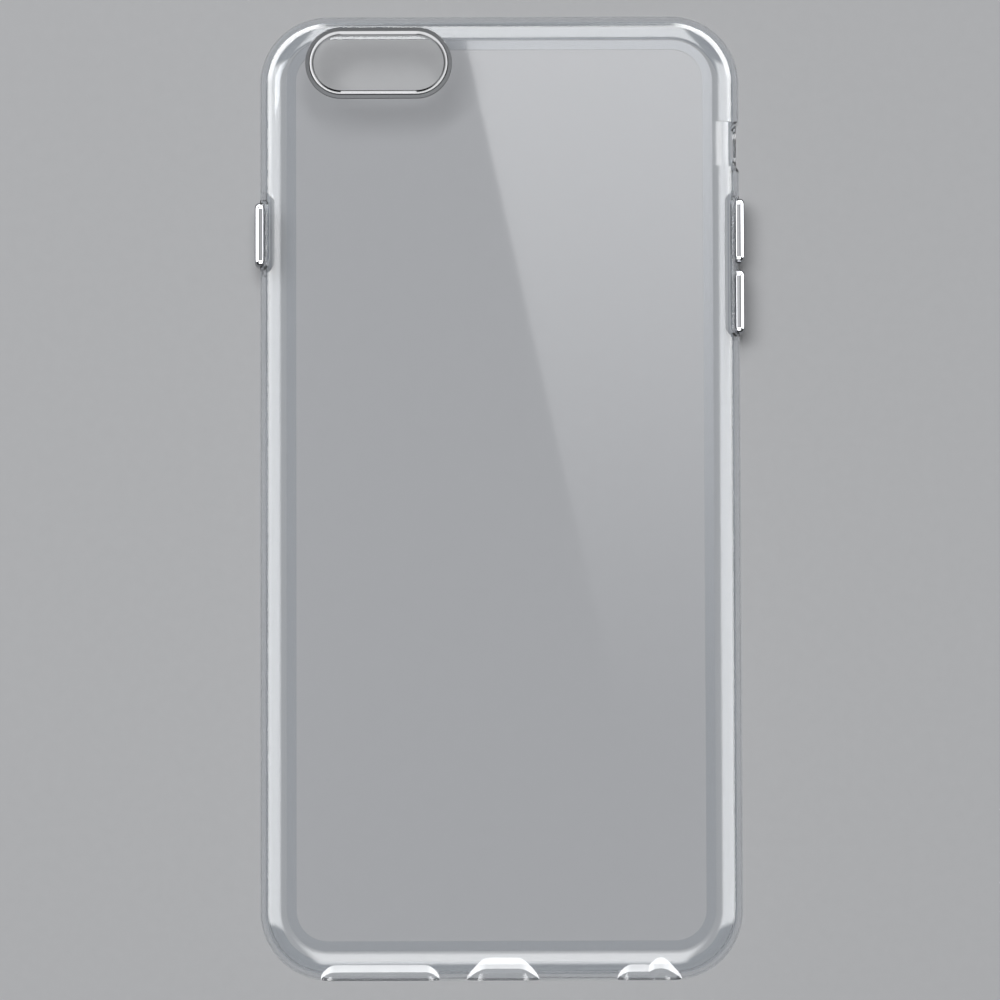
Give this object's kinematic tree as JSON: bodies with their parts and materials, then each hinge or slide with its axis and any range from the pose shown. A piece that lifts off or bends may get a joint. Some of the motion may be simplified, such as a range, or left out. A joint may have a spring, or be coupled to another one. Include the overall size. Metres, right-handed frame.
{
  "type": "phone case",
  "caption": "Clear slim phone case: hard back panel in a soft bumper frame, raised camera ring, button caps on flexible webs and cut-outs for ports.",
  "frame": {"origin": "centre of the case's outline in X and Y, at the height of the lip rim that the open side rests on", "axes": "+Z out of the outer back face, +Y to the top edge with the camera opening, +X to the side with the volume buttons"},
  "size_m": [0.0812, 0.1602, 0.0094],
  "materials": {
    "clear_tpu": "gloss",
    "clear_polycarbonate": "gloss",
    "silver_ring": "satin",
    "silver_cap": "gloss, silver plated",
    "web_tpu": "satin"
  },
  "bodies": {
    "case": {"bumper_frame": "clear_tpu", "back_panel": "clear_polycarbonate", "camera_ring": "silver_ring", "power_button_web": "web_tpu", "volume_button_web": "web_tpu"},
    "power_button": {"power_button": "silver_cap"},
    "volume_up_button": {"volume_up_button": "silver_cap"},
    "volume_down_button": {"volume_down_button": "silver_cap"}
  },
  "joints": [
    {"name": "power_press", "type": "slide", "parent": "case", "child": "power_button", "axis": [1, 0, 0], "range_m": [0, 0.00035], "stiffness_N_per_m": 800, "deforming": ["power_button_web"]},
    {"name": "volume_up_press", "type": "slide", "parent": "case", "child": "volume_up_button", "axis": [-1, 0, 0], "range_m": [0, 0.00035], "stiffness_N_per_m": 800, "deforming": ["volume_button_web"]},
    {"name": "volume_down_press", "type": "slide", "parent": "case", "child": "volume_down_button", "axis": [-1, 0, 0], "range_m": [0, 0.00035], "stiffness_N_per_m": 800, "deforming": ["volume_button_web"]}
  ]
}
